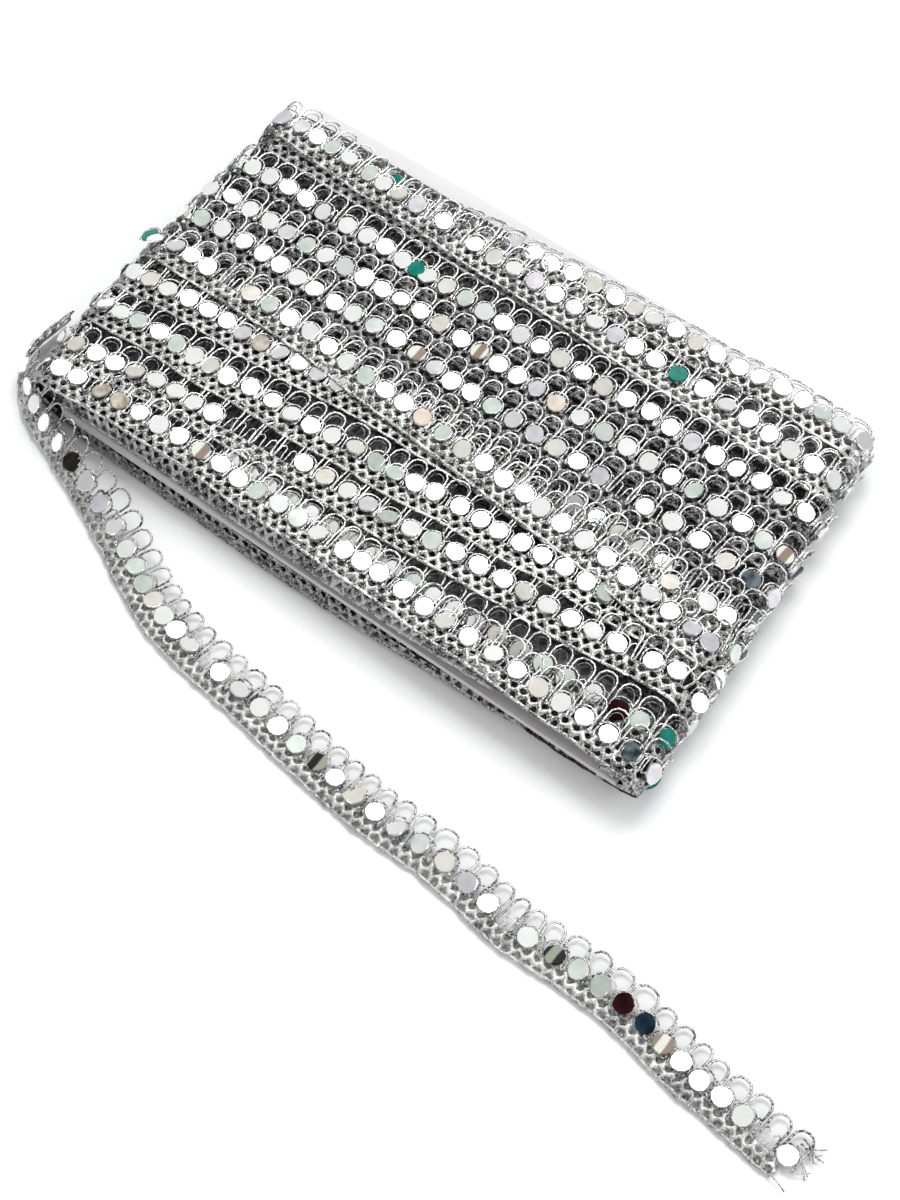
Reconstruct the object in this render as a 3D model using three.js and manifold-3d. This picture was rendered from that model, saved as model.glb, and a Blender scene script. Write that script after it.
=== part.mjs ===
// Mirror lace trim wound flat around a card, with its loose end lying beside it.
// Millimetres. X runs along the rows, Y across them, Z up; the origin is on the
// surface under the middle of the wound trim.
import * as THREE from "three";
import Module from "manifold-3d";

const wasm = await Module();
wasm.setup();

// The trim itself
const TRIM_WIDTH = 11.5;
const TRIM_THICK = 1.2;
const LOOP_PITCH = 4.85;
const LOOP_TOP_OF_BAND = 7.9;
const LOOP_WALL = 0.85;
const LOOP_SEGMENTS = 6;
const MIRROR_DIAMETER = 4.15;
const MIRROR_THICK = 0.8;
const MIRROR_ACROSS = 5.3;
const MIRROR_SIDES = 12;
const PIECE_GAP = 0.3;

// The wound trim
const WOUND_THICK = 12;
const HALF_LENGTH = 80;
const LEFT_END = -81.4;
const LEFT_END_SLANT = -0.03;
const RIGHT_END = 79.3;
const RIGHT_END_SLANT = -0.085;
const CORNER_FROM = -30;
const CORNER_DEPTH = 16;
const CORNER_CUT = 10;
const ROW_STEP = 1.3;
const ROW_SHOULDER = 0.35;
const SHOULDER_LIFT = 0.75;
const STEP_RUN = 0.5;
const SCALLOP = 0.7;
const LEAST_STRIP = 0.15;
const GROOVE = 0.8;
const GROOVE_SHARE = 0.15;
const EDGE_TUCK = 1.2;
const EDGE_OVERHANG = 0.6;
const FACE_STATIONS = 64;
const UNDER_STATIONS = 10;
const END_STATIONS = 7;

// Edge of each row nearest the front: at the left end, the middle and the right
// end of the upper side, and on the underside
const ROWS = [
  { left: -45.0, middle: -48.0, right: -48.5, under: -48.4 },
  { left: -40.5, middle: -36.5, right: -30.0, under: -37.5 },
  { left: -29.5, middle: -26.5, right: -24.5, under: -27.5 },
  { left: -19.0, middle: -16.5, right: -22.5, under: -17.5 },
  { left: -10.0, middle: -12.0, right: -20.5, under: -13.5 },
  { left: 1.0, middle: -0.5, right: -2.5, under: -5.0 },
  { left: 10.5, middle: 9.5, right: 6.0, under: 5.5 },
  { left: 20.0, middle: 18.5, right: 17.0, under: 16.0 },
  { left: 31.5, middle: 29.5, right: 27.0, under: 26.5 },
  { left: 38.0, middle: 39.5, right: 40.5, under: 37.0 },
];
const BACK_EDGE = { left: 44.5, middle: 47.5, right: 49.5, under: 47.5 };

// The card inside, its corners in plan
const CARD_THICK = 1.4;
const CARD_MIDDLE = 6;
const CARD_PLAN = [
  { x: -66.0, y: -49.2 },
  { x: 77.6, y: -49.4 },
  { x: 69.4, y: 50.6 },
  { x: 20.0, y: 51.4 },
  { x: -35.0, y: 51.4 },
  { x: -77.2, y: 50.2 },
  { x: -75.0, y: -34.0 },
];
const SLOT_REACH = 12;
const SLOT_END_GAP = 0.45;
const NEAR_END = 48;

// The loose end: where its plain edge meets the surface, and how far it leans
// over from lying flat, in degrees
const LOOSE_PATH = [
  { x: -84.6, y: -25.0, lean: 70 },
  { x: -85.2, y: -31.0, lean: 67 },
  { x: -85.6, y: -37.0, lean: 65 },
  { x: -84.6, y: -43.4, lean: 61 },
  { x: -81.3, y: -47.8, lean: 53 },
  { x: -77.3, y: -51.6, lean: 46.5 },
  { x: -72.1, y: -54.5, lean: 46 },
  { x: -65.7, y: -56.9, lean: 46 },
  { x: -60.2, y: -59.2, lean: 42 },
  { x: -55.0, y: -61.2, lean: 37 },
  { x: -47.7, y: -64.3, lean: 28 },
  { x: -40.0, y: -68.1, lean: 12 },
  { x: -30.5, y: -72.8, lean: 5 },
  { x: -21.0, y: -76.8, lean: 2 },
  { x: -10.0, y: -79.4, lean: 0 },
  { x: 4.0, y: -81.1, lean: 0 },
  { x: 20.0, y: -83.4, lean: 0 },
  { x: 40.0, y: -85.8, lean: 0 },
  { x: 60.0, y: -86.2, lean: 0 },
  { x: 78.0, y: -88.8, lean: 0 },
  { x: 92.0, y: -88.4, lean: 0 },
  { x: 104.0, y: -88.9, lean: 0 },
  { x: 118.0, y: -91.6, lean: 0 },
  { x: 132.0, y: -93.1, lean: 0 },
  { x: 146.0, y: -94.8, lean: 0 },
];
const PATH_STEPS = 2000;

// Runs of evenly spaced mirrors, by length along the loose end; the places
// between two runs have lost theirs or are spaced otherwise
const MIRROR_RUNS = [
  { from: 3.5, to: 73.6, count: 13 },
  { from: 78.2, to: 101.6, count: 6 },
  { from: 111.1, to: 139.5, count: 6 },
  { from: 144.5, to: 195.4, count: 10 },
  { from: 201.7, to: 246.6, count: 10 },
  { from: 257.1, to: 257.1, count: 1 },
];

// Looks
const LACE = { color: 0xc4c5c3, roughness: 0.4, metalness: 0.6 };
const MIRROR = { color: 0xeef1ef, roughness: 0.06, metalness: 1.0 };
const CARD = { color: 0xf1f0ec, roughness: 0.8, metalness: 0.0 };

function smooth(t) {
  const u = Math.min(Math.max(t, 0), 1);
  return u * u * (3 - 2 * u);
}

function mix(a, b, t) {
  return a + (b - a) * t;
}

// Curve through the left, middle and right values of a row edge
function along(edge, x) {
  const u = x / HALF_LENGTH;
  const straight = (edge.right - edge.left) / 2;
  const bend = (edge.right + edge.left) / 2 - edge.middle;
  return edge.middle + straight * u + bend * u * u;
}

// The left end, rounded off in plan at the front corner
function leftEnd(y) {
  const intoCorner = Math.max((CORNER_FROM - y) / CORNER_DEPTH, 0);
  return LEFT_END + LEFT_END_SLANT * y + CORNER_CUT * intoCorner ** 3;
}

function rightEnd(y) {
  return RIGHT_END + RIGHT_END_SLANT * y;
}

// Every line that runs around the wound trim, front to back
function roundLines() {
  const lines = [];
  const edges = [...ROWS, BACK_EDGE];
  lines.push({ edge: ROWS[0], shift: -EDGE_OVERHANG, lift: 0, tuck: EDGE_TUCK, wave: 0 });
  ROWS.forEach((row, i) => {
    const next = edges[i + 1];
    const afterStep = i === 0 ? 0 : STEP_RUN;
    lines.push({ edge: row, shift: afterStep, lift: 0, tuck: 0, wave: i === 0 ? 0 : i });
    lines.push({ edge: row, next, share: ROW_SHOULDER, shift: 0, lift: SHOULDER_LIFT, tuck: 0, wave: 0 });
    lines.push({ edge: next, shift: 0, lift: 1, tuck: 0, wave: i + 1 });
  });
  lines.push({ edge: BACK_EDGE, shift: STEP_RUN, lift: 1, tuck: EDGE_TUCK, wave: ROWS.length });
  return lines;
}

function upperY(line, x, station) {
  const here = along(line.edge, x);
  const base = line.next ? mix(here, along(line.next, x), line.share) : here;
  const wave = line.wave > 0 ? SCALLOP * ((station + line.wave) % 2 === 0 ? 1 : -1) : 0;
  return base + line.shift + wave;
}

function underY(line) {
  const here = line.edge.under;
  const base = line.next ? mix(here, line.next.under, GROOVE_SHARE) : here;
  return base + line.shift;
}

// One closed outline around the wound trim, starting at the upper left
function outline(line, before) {
  const points = [];
  const top = WOUND_THICK - ROW_STEP * (1 - line.lift) - line.tuck;
  const bottom = (line.lift === 0 && line.tuck === 0 ? GROOVE : 0) + line.tuck;
  const middle = (top + bottom) / 2;
  const half = (top - bottom) / 2;
  const inset = (ROW_STEP * (1 - line.lift)) / 2 + line.tuck / 2;
  const place = (x, y, z) => {
    const last = before ? before[points.length].y + LEAST_STRIP : -Infinity;
    points.push(new THREE.Vector3(x, Math.max(y, last), z));
  };
  const spanAt = (y) => [leftEnd(y) + WOUND_THICK / 2, rightEnd(y) - WOUND_THICK / 2];
  for (let k = 0; k <= FACE_STATIONS; k += 1) {
    const share = k / FACE_STATIONS;
    const guess = upperY(line, mix(-HALF_LENGTH, HALF_LENGTH, share), k);
    const [from, to] = spanAt(guess);
    const x = mix(from, to, share);
    place(x, upperY(line, x, k), top);
  }
  const reach = half - inset;
  const turn = (centre, side, fromY, toY) => {
    for (let k = 1; k < END_STATIONS; k += 1) {
      const share = k / END_STATIONS;
      const angle = side * (Math.PI / 2 - Math.PI * share);
      const x = centre + side * reach * Math.cos(angle);
      place(x, mix(fromY, toY, smooth(share)), middle + half * Math.sin(angle));
    }
  };
  const yRight = upperY({ ...line, wave: 0 }, HALF_LENGTH, 0);
  const yLeft = upperY({ ...line, wave: 0 }, -HALF_LENGTH, 0);
  const under = underY(line);
  turn(rightEnd(yRight) - WOUND_THICK / 2, 1, yRight, under);
  const [underFrom, underTo] = spanAt(under);
  for (let k = 0; k <= UNDER_STATIONS; k += 1) {
    place(mix(underTo, underFrom, k / UNDER_STATIONS), under, bottom);
  }
  turn(leftEnd(yLeft) + WOUND_THICK / 2, -1, under, yLeft);
  return points;
}

function bodyFromOutlines(rings) {
  const count = rings[0].length;
  const positions = rings.flatMap((ring) => ring.flatMap((p) => [p.x, p.y, p.z]));
  const index = [];
  for (let r = 0; r + 1 < rings.length; r += 1) {
    for (let k = 0; k < count; k += 1) {
      const a = r * count + k;
      const b = r * count + ((k + 1) % count);
      index.push(a, a + count, b);
      index.push(b, a + count, b + count);
    }
  }
  const fan = (ring, offset, flip) => {
    const centre = positions.length / 3;
    const middle = ring.reduce((sum, p) => sum.add(p), new THREE.Vector3());
    middle.divideScalar(count);
    positions.push(middle.x, middle.y, middle.z);
    for (let k = 0; k < count; k += 1) {
      const here = offset + k;
      const next = offset + ((k + 1) % count);
      index.push(centre, flip ? next : here, flip ? here : next);
    }
  };
  fan(rings[0], 0, false);
  fan(rings[rings.length - 1], (rings.length - 1) * count, true);
  return makeGeometry(positions, index);
}

function makeGeometry(positions, index) {
  const geometry = new THREE.BufferGeometry();
  geometry.setAttribute("position", new THREE.Float32BufferAttribute(positions, 3));
  geometry.setIndex(index);
  return geometry;
}

function signedVolume(geometry) {
  const p = geometry.getAttribute("position");
  const index = geometry.getIndex();
  const a = new THREE.Vector3();
  const b = new THREE.Vector3();
  const c = new THREE.Vector3();
  let sum = 0;
  for (let i = 0; i < index.count; i += 3) {
    a.fromBufferAttribute(p, index.getX(i));
    b.fromBufferAttribute(p, index.getX(i + 1));
    c.fromBufferAttribute(p, index.getX(i + 2));
    sum += a.dot(b.cross(c)) / 6;
  }
  return sum;
}

function facingOut(geometry) {
  if (signedVolume(geometry) > 0) return geometry;
  const index = Array.from(geometry.getIndex().array);
  for (let i = 0; i < index.length; i += 3) {
    [index[i + 1], index[i + 2]] = [index[i + 2], index[i + 1]];
  }
  geometry.setIndex(index);
  return geometry;
}

function toManifold(geometry) {
  const mesh = new wasm.Mesh({
    numProp: 3,
    vertProperties: new Float32Array(geometry.getAttribute("position").array),
    triVerts: new Uint32Array(geometry.getIndex().array),
  });
  return new wasm.Manifold(mesh);
}

function fromManifold(solid) {
  const mesh = solid.getMesh();
  return makeGeometry(Array.from(mesh.vertProperties), Array.from(mesh.triVerts));
}

// A level plate between two heights with the given plan
function plate(plan, low, high) {
  const flat = plan.map((p) => new THREE.Vector2(p.x, p.y));
  const count = flat.length;
  const positions = [low, high].flatMap((z) => flat.flatMap((p) => [p.x, p.y, z]));
  const index = [];
  for (let k = 0; k < count; k += 1) {
    const next = (k + 1) % count;
    index.push(k, next, count + k);
    index.push(next, count + next, count + k);
  }
  THREE.ShapeUtils.triangulateShape(flat, []).forEach(([a, b, c]) => {
    index.push(a, c, b);
    index.push(count + a, count + b, count + c);
  });
  return facingOut(makeGeometry(positions, index));
}

// The card's plan, wider by the gap at both ends and run out past both long sides
function slotPlan() {
  const middleX = (CARD_PLAN[0].x + CARD_PLAN[1].x) / 2;
  const ends = CARD_PLAN.filter((p) => Math.abs(p.x - middleX) > NEAR_END);
  const wider = ends.map((p) => {
    const side = Math.sign(p.x - middleX);
    return { x: p.x + side * SLOT_END_GAP, y: p.y };
  });
  const [frontLeft, frontRight, backRight, backLeft] = wider;
  return [
    { x: frontLeft.x, y: frontLeft.y - SLOT_REACH },
    { x: frontRight.x, y: frontRight.y - SLOT_REACH },
    frontRight,
    backRight,
    { x: backRight.x, y: backRight.y + SLOT_REACH },
    { x: backLeft.x, y: backLeft.y + SLOT_REACH },
    ...wider.slice(3),
    frontLeft,
  ];
}

function buildWound() {
  const rings = [];
  roundLines().forEach((line) => {
    rings.push(outline(line, rings[rings.length - 1]));
  });
  const body = facingOut(bodyFromOutlines(rings));
  const gap = CARD_THICK / 2 + PIECE_GAP;
  const slot = plate(slotPlan(), CARD_MIDDLE - gap, CARD_MIDDLE + gap);
  return fromManifold(toManifold(body).subtract(toManifold(slot)));
}

// The line of the loose end on the surface, with its lean at every length
const pathPoints = LOOSE_PATH.map((p) => new THREE.Vector3(p.x, p.y, 0));
const pathCurve = new THREE.CatmullRomCurve3(pathPoints, false, "centripetal");
pathCurve.arcLengthDivisions = PATH_STEPS;
const pathLength = pathCurve.getLength();
const loopCount = Math.round(pathLength / LOOP_PITCH);

function leanAt(share) {
  const along01 = pathCurve.getUtoTmapping(share);
  const place = along01 * (LOOSE_PATH.length - 1);
  const i = Math.min(Math.floor(place), LOOSE_PATH.length - 2);
  return THREE.MathUtils.degToRad(mix(LOOSE_PATH[i].lean, LOOSE_PATH[i + 1].lean, place - i));
}

function looseFrame(length) {
  const share = Math.min(Math.max(length / pathLength, 0), 1);
  const origin = pathCurve.getPointAt(share);
  const forward = pathCurve.getTangentAt(share).normalize();
  const left = new THREE.Vector3(-forward.y, forward.x, 0);
  const lean = leanAt(share);
  const across = left.multiplyScalar(Math.cos(lean)).add(new THREE.Vector3(0, 0, Math.sin(lean)));
  const face = new THREE.Vector3().crossVectors(forward, across);
  return { origin, forward, across, face };
}

// A place on the loose end: length along it, distance across it, height on its face
function looseAt(length, acrossBy, height) {
  const f = looseFrame(length);
  return f.origin.clone().addScaledVector(f.across, acrossBy).addScaledVector(f.face, height);
}

// One repeat of the trim: its outer outline from the plain edge round the loop
function buildLooseEnd() {
  const pitch = pathLength / loopCount;
  const outer = pitch / 2;
  const inner = outer - LOOP_WALL;
  const spring = TRIM_WIDTH - outer;
  const positions = [];
  const index = [];
  const seen = new Map();
  const vertex = (s, t, level) => {
    const key = `${s.toFixed(4)}|${t.toFixed(4)}|${level}`;
    if (!seen.has(key)) {
      const p = looseAt(s, t, level * TRIM_THICK);
      seen.set(key, positions.length / 3);
      positions.push(p.x, p.y, p.z);
    }
    return seen.get(key);
  };
  const faceBoth = (a, b, c) => {
    index.push(vertex(...a, 1), vertex(...b, 1), vertex(...c, 1));
    index.push(vertex(...a, 0), vertex(...c, 0), vertex(...b, 0));
  };
  const quadBoth = (a, b, c, d) => {
    faceBoth(a, b, c);
    faceBoth(a, c, d);
  };
  // A wall along the way from a to b, with the solid on its left
  const wall = (a, b) => {
    index.push(vertex(...a, 0), vertex(...b, 0), vertex(...b, 1));
    index.push(vertex(...a, 0), vertex(...b, 1), vertex(...a, 1));
  };
  const arc = (centre, radius) => {
    const places = [];
    for (let k = 0; k <= LOOP_SEGMENTS; k += 1) {
      const angle = Math.PI - (Math.PI * k) / LOOP_SEGMENTS;
      places.push([centre + radius * Math.cos(angle), spring + radius * Math.sin(angle)]);
    }
    return places;
  };
  for (let cell = 0; cell < loopCount; cell += 1) {
    const from = cell * pitch;
    const to = (cell + 1) * pitch;
    const centre = (from + to) / 2;
    const holeLeft = [centre - inner, LOOP_TOP_OF_BAND];
    const holeRight = [centre + inner, LOOP_TOP_OF_BAND];
    const bandLeft = [from, LOOP_TOP_OF_BAND];
    const bandRight = [to, LOOP_TOP_OF_BAND];
    faceBoth([from, 0], holeLeft, bandLeft);
    faceBoth([from, 0], holeRight, holeLeft);
    faceBoth([from, 0], [to, 0], holeRight);
    faceBoth([to, 0], bandRight, holeRight);
    wall([from, 0], [to, 0]);
    const outside = arc(centre, outer);
    const inside = arc(centre, inner);
    quadBoth(bandLeft, holeLeft, inside[0], outside[0]);
    quadBoth(holeRight, bandRight, outside[LOOP_SEGMENTS], inside[LOOP_SEGMENTS]);
    for (let k = 0; k < LOOP_SEGMENTS; k += 1) {
      quadBoth(outside[k], inside[k], inside[k + 1], outside[k + 1]);
      wall(outside[k + 1], outside[k]);
      wall(inside[k], inside[k + 1]);
    }
    wall(inside[LOOP_SEGMENTS], holeRight);
    wall(holeRight, holeLeft);
    wall(holeLeft, inside[0]);
  }
  const end = loopCount * pitch;
  wall([0, LOOP_TOP_OF_BAND], [0, 0]);
  wall([0, spring], [0, LOOP_TOP_OF_BAND]);
  wall([end, 0], [end, LOOP_TOP_OF_BAND]);
  wall([end, LOOP_TOP_OF_BAND], [end, spring]);
  return facingOut(makeGeometry(positions, index));
}

// A small round mirror sewn on the face of the loose end
function buildMirror(length) {
  const f = looseFrame(length);
  const base = TRIM_THICK + PIECE_GAP;
  const middle = looseAt(length, MIRROR_ACROSS, base + MIRROR_THICK / 2);
  const radius = MIRROR_DIAMETER / 2;
  const geometry = new THREE.CylinderGeometry(radius, radius, MIRROR_THICK, MIRROR_SIDES);
  const turn = new THREE.Matrix4().makeBasis(f.across, f.face, f.forward);
  geometry.applyMatrix4(turn);
  geometry.translate(middle.x, middle.y, middle.z);
  return geometry;
}

function material(look) {
  return new THREE.MeshStandardMaterial(look);
}

function named(name, geometry, look) {
  geometry.computeVertexNormals();
  const mesh = new THREE.Mesh(geometry, material(look));
  mesh.name = name;
  return mesh;
}

const group = new THREE.Group();
group.name = "mirror_lace_trim";

const cardLow = CARD_MIDDLE - CARD_THICK / 2;
group.add(named("card", plate(CARD_PLAN, cardLow, cardLow + CARD_THICK), CARD));
group.add(named("wound_trim", buildWound(), LACE));
group.add(named("loose_end", buildLooseEnd(), LACE));

const mirrorLengths = MIRROR_RUNS.flatMap((run) => {
  const steps = Math.max(run.count - 1, 1);
  return Array.from({ length: run.count }, (_, k) => mix(run.from, run.to, k / steps));
});
mirrorLengths.forEach((length, k) => {
  const name = `mirror_${String(k + 1).padStart(2, "0")}`;
  group.add(named(name, buildMirror(length), MIRROR));
});

export default group;
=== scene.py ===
import math

import bpy
import numpy as np
from mathutils import Matrix, Vector


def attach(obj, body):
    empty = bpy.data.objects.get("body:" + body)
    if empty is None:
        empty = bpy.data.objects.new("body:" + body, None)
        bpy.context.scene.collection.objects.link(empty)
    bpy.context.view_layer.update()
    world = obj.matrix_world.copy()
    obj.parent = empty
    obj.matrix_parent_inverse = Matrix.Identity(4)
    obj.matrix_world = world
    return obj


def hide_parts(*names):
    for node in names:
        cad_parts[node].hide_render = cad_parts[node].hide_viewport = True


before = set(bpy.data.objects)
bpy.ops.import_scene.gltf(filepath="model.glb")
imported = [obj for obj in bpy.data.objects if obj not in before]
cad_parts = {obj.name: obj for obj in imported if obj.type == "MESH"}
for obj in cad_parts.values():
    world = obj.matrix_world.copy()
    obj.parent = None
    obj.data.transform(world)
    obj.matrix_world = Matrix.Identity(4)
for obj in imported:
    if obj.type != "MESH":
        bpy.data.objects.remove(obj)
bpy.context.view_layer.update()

# Sizes in millimetres, as in the part's source
MM = 0.001
TRIM_WIDTH = 11.5
MIRROR_RADIUS = 2.07
MIRROR_ACROSS = 5.3
MIRROR_THICK = 0.45
WOUND_CELL = 5.15
LOOSE_CELL = 4.85

HALF_LENGTH = 80.0
LEFT_END = -81.4
LEFT_END_SLANT = -0.03
RIGHT_END = 79.3
RIGHT_END_SLANT = -0.085
CORNER_FROM = -30.0
CORNER_DEPTH = 16.0
CORNER_CUT = 1.8
MIDDLE_HEIGHT = 6.0
END_RADIUS = 6.0

# A turn is laid in steps of this length, and the rounding at each end in so many
STEP = 1.2
TURN_STEPS = 14
# How far the trim lies against the rounding there: 0 stands off it, 1 is flat on it
END_WRAP = 0.8
# A drooping row bends down past this distance across the trim
DROOP_FROM = 7.4
DROOP_DRAW_IN = 0.3
STEEPEST_SLOPE = 0.3
# The lowest turns of the front row bulge forward near the middle
BULGE = 1.8
BULGE_PLACE = -5
BULGE_SPREAD = 45
# How the turns wander sideways and up: waves round a turn, and size
SIDE_WAVES, SIDE_WANDER = (3, 5, 8, 13), 0.13
LIFT_WAVES, LIFT_WANDER = (4, 7, 11), 0.12
# Per layer: how far inside the rounding of the ends it wraps, then the heights of its
# plain edge and its loop edge underneath
DEPTHS = dict(outer=(1.3, 2.4, 1.75), deeper=(2.1, 3.2, 2.7), inner=(2.9, 3.9, 3.4))

# Rows that show, front to back. edge is the place of the plain edge across the card, low
# and high the heights of the plain edge and the loop edge, each at the five stations along
# the card, and under is the place of the plain edge underneath. runs are rows of mirrors:
# first place, last place and how many. Up to bare_to there are no others.
STATIONS = (-80, -40, 0, 40, 80)
# Kinds of knit: plain, then darker copies that paint shade under loops, in shade and under the winding
KNIT_KINDS = ["plain", "under_loops_shade", "shaded", "lower"]
OUTER_ROWS = [
    dict(name="row_01", edge=(-49.0, -46.8, -47.6, -48.3, -49.4),
         low=(10.7, 10.9, 10.9, 10.5, 9.5), high=(10.5, 10.6, 10.7, 10.7, 10.7), under=-48.4, bulge=BULGE,
         runs=[(-71, -66.3, 2), (-60, -55.5, 2), (-50, -2, 10), (5, 14, 3), (20, 48.7, 6), (54.6, 82.3, 6),
               (87, 87, 1)]),
    dict(name="row_01_lower", deeper=True, edge=(-45.0, -44.3, -44.3, -44.2, -42.2),
         low=(8.8, 8.8, 8.8, 8.9, 9.0), high=(9.2, 9.4, 9.5, 10.2, 10.2), under=-43.0,
         runs=[(-28, 57.5, 17), (64, 64, 1), (70, 70, 1), (75, 79.8, 2)]),
    dict(name="row_02", edge=(-42.5, -37.9, -35.8, -33.5, -29.8),
         low=(11.0, 11.0, 11.0, 11.0, 10.7), high=(10.5, 10.3, 10.3, 10.3, 11.0), under=-37.5,
         runs=[(-77.6, -77.6, 1), (-72, -72, 1), (-67, -37.5, 7), (-14.5, 56.5, 14),
               (62, 62, 1), (70, 80, 3)]),
    dict(name="row_03", edge=(-30.0, -28.4, -26.4, -24.3, -21.9),
         low=(11.0, 11.1, 11.1, 10.9, 9.9), high=(10.2, 10.6, 10.9, 10.2, 9.4), under=-27.5, bare_to=82,
         runs=[(-75.5, -46, 7), (-41, -3, 8), (2, 12, 3), (17.5, 27, 3), (33, 53, 5)]),
    dict(name="row_04", edge=(-19.6, -17.1, -14.5, -15.6, -19.5),
         low=(11.0, 10.8, 10.4, 9.8, 9.4), high=(10.3, 9.8, 9.6, 9.2, 9.0), under=-17.5, bare_to=82,
         runs=[(-76, -22, 12)]),
    dict(name="row_05", edge=(-9.0, -9.2, -12.7, -16.6, -21.4),
         low=(11.3, 11.3, 11.3, 11.4, 11.4), high=(11.1, 11.2, 11.3, 11.2, 10.8), under=-13.5,
         runs=[(-78, -64, 4), (-52, -19, 7), (-13, -3, 3), (3, 25.5, 5), (30, 76.5, 9)]),
    dict(name="row_05_middle", deeper=True, edge=(-9.4, -10.0, -11.6, -12.7, -13.6),
         low=(8.8, 9.0, 9.3, 10.3, 10.4), high=(9.2, 9.4, 10.2, 11.1, 11.0), under=-10.0, bare_to=82,
         runs=[(61.5, 61.5, 1), (70, 75, 2)]),
    dict(name="row_05_lower", deeper=True, edge=(-9.0, -9.2, -9.1, -9.8, -10.4),
         low=(8.6, 8.6, 8.6, 8.8, 8.8), high=(10.6, 10.8, 11.1, 11.1, 10.9), under=-7.0, bare_to=76,
         runs=[(35, 57.5, 5), (78, 78, 1)]),
    # Rows 06 to 08 take a darker knit for their bands: painted shade under the loops in front
    dict(name="row_06", band="under_loops_shade", edge=(1.2, 1.5, -0.6, -1.1, -2.7),
         low=(9.8, 9.8, 9.8, 9.8, 9.8), high=(11.1, 11.1, 11.1, 11.0, 10.8), under=0.0,
         runs=[(-79, -47, 7), (-42, -9, 7), (-4, 35, 8), (47, 73.5, 5)]),
    dict(name="row_07", band="under_loops_shade", edge=(9.3, 9.8, 9.1, 8.1, 5.8),
         low=(9.8, 9.8, 9.8, 9.8, 9.8), high=(11.1, 11.1, 11.1, 11.0, 10.8), under=9.0,
         runs=[(-78, -57, 5), (-51, -15, 8), (-9, 17, 6), (23.5, 76, 10)]),
    dict(name="row_08", band="under_loops_shade", edge=(19.7, 19.0, 18.2, 17.9, 17.0),
         low=(9.8, 9.8, 9.8, 9.8, 9.8), high=(10.9, 10.9, 10.9, 10.9, 10.7), under=18.0,
         runs=[(-75, -54.5, 5), (-47.5, -32.3, 4), (-28.5, -28.5, 1), (-25, 11, 8), (17, 73.5, 11)]),
    dict(name="row_09_lower", deeper=True, band="shaded", edge=(30.9, 30.6, 30.2, 29.2, 27.2),
         low=(9.7, 9.7, 9.6, 9.4, 9.2), high=(9.7, 9.7, 9.7, 9.6, 9.6), under=27.0, bare_to=82, runs=[]),
    dict(name="row_09", edge=(35.0, 32.4, 30.6, 29.2, 26.8),
         low=(11.0, 11.0, 11.0, 11.0, 10.9), high=(11.2, 11.3, 11.3, 11.2, 11.0), under=31.0,
         runs=[(-78, -74, 2), (-69, -59.5, 3), (-53, -44, 3), (-38.5, -31.5, 2), (-22, 27.5, 10),
               (33.5, 33.5, 1), (40, 74, 7)]),
    dict(name="row_10", edge=(34.5, 35.6, 38.4, 39.4, 39.8),
         low=(9.6, 9.8, 10.2, 10.5, 10.5), high=(9.4, 9.6, 10.4, 10.7, 10.7), under=36.5, droop=0.6,
         runs=[(-47, -47, 1), (-15.5, 37, 11), (43, 73, 7)]),
]

# Rows of the layers below, seen between and through the ones above
INNER_ROWS = [
    dict(edge=(-46.4, -46.6, -47.0, -47.4, -47.4), under=-48.0, bulge=BULGE),
    dict(edge=(-37.0, -34.0, -33.0, -32.0, -33.0), under=-37.0),
    dict(edge=(-25.0, -24.0, -23.0, -22.0, -24.0), under=-26.0),
    dict(edge=(-14.0, -14.6, -14.4, -15.0, -16.0), under=-16.0),
    dict(edge=(-2.0, -2.0, -3.0, -4.0, -5.0), under=-2.5),
    dict(edge=(6.0, 6.0, 5.6, 5.0, 3.6), under=5.5),
    dict(edge=(15.4, 15.4, 15.0, 14.0, 12.6), under=14.5),
    dict(edge=(25.0, 24.6, 24.2, 23.6, 22.6), under=24.0),
]
LOW_HEIGHT, LOW_LOOP_HEIGHT = (8.6,) * 5, (8.9,) * 5

# Mirrors that aren't plain silver: row, place along it, colour
TINTED = [
    ("row_01", -60, "brown"), ("row_01", -56, "brown"), ("row_01", -34, "streaked"),
    ("row_01", 77, "slate"), ("row_01", 87, "teal"), ("row_01_lower", 70, "maroon"),
    ("row_01_lower", 79.8, "teal"), ("row_04", -41, "brown"), ("row_05", -3, "beige"),
    ("row_05_lower", 78, "slate"), ("row_06", -15.5, "streaked"), ("row_06", 73.5, "slate"),
    ("row_07", -4, "streaked"), ("row_07", 17, "beige"), ("row_07", 76, "streaked"),
    ("row_08", -28.5, "teal"), ("row_09", 33.5, "teal"), ("row_10", -47, "teal"),
]
# Mirrors that hang off the end turns: place, lean to the left in degrees, colour
STRAY_MIRRORS = [(-82.4, -2.1, 6.4, 24, "teal")]
STRAY_REACH = 3.0
# Shares of the tones of the plain mirrors
PLAIN_TINTS = [("silver", 0.42), ("cream", 0.20), ("greenish", 0.22), ("grey", 0.16)]

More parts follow.
